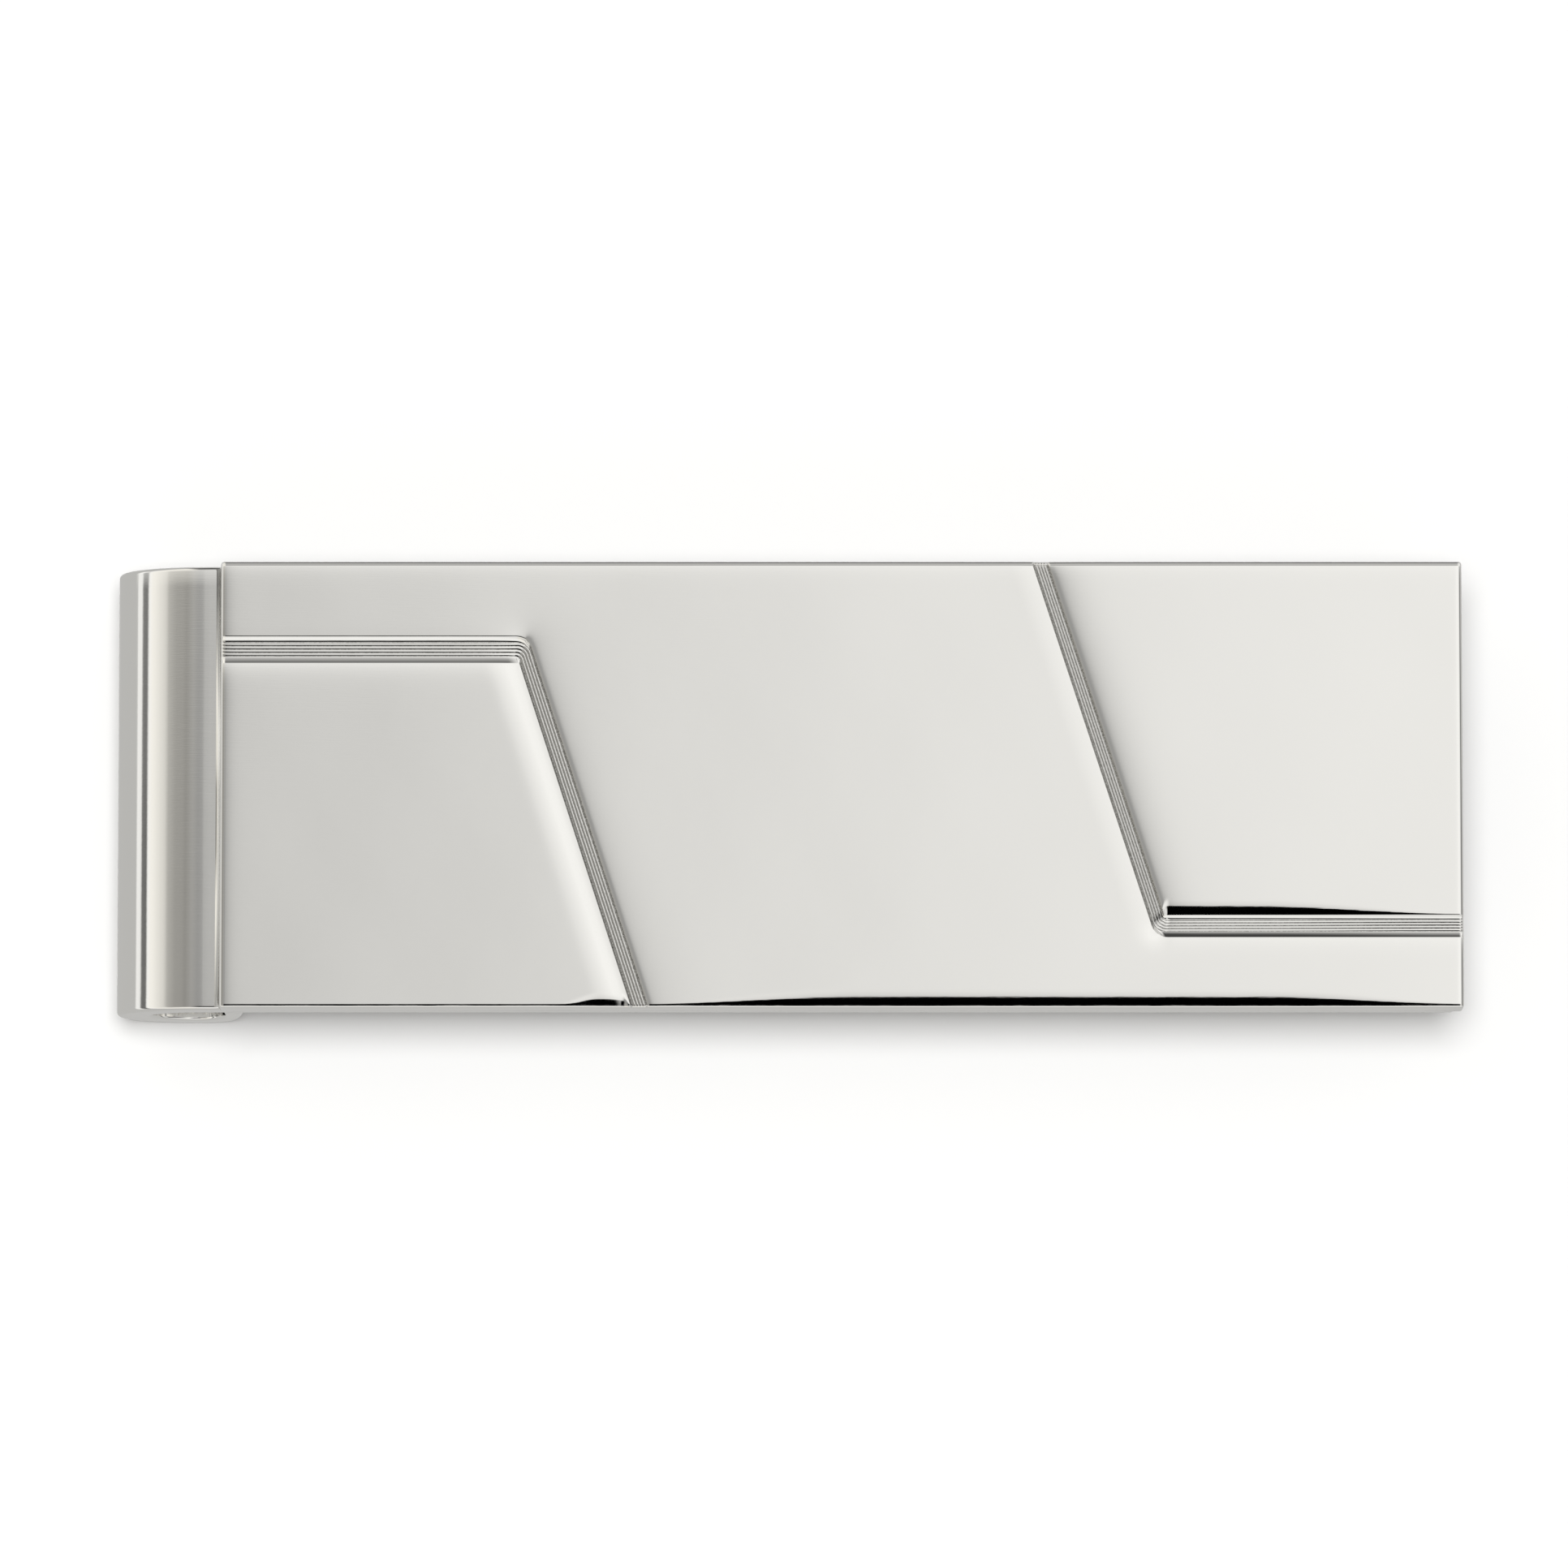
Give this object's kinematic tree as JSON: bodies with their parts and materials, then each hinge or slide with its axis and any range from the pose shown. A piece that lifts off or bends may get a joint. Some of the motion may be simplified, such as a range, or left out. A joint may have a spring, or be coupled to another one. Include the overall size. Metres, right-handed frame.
{
  "type": "money clip",
  "caption": "Slim money clip: a polished rectangular plate with two reeded Z bands, brazed on a folded spring strip whose back leg springs open.",
  "frame": {"origin": "middle of the bounding box's underside, level with the fold's belly and the back leg's tip", "axes": "+X along the clip from the fold to the open end, +Y across it, +Z out of the plate's face"},
  "size_m": [0.0572, 0.019, 0.0069],
  "materials": {
    "plated_plate": "mirror polished white-metal plating, satin in the reeded bands",
    "plated_spring": "polished white-metal plating",
    "braze": "polished over, slightly softer than the plate"
  },
  "bodies": {
    "clip_front": {"front_plate": "plated_plate", "braze_seam": "braze", "spring_front_leg": "plated_spring"},
    "back_leg": {"spring_back_leg": "plated_spring"}
  },
  "joints": [
    {"name": "fold_flex", "type": "hinge", "parent": "clip_front", "child": "back_leg", "pos_m": [-0.02785, 0, 0.0028], "axis": [0, 1, 0], "range_deg": [0, 10], "stiffness_Nm_per_rad": 0.4, "springref_deg": -8.59}
  ]
}
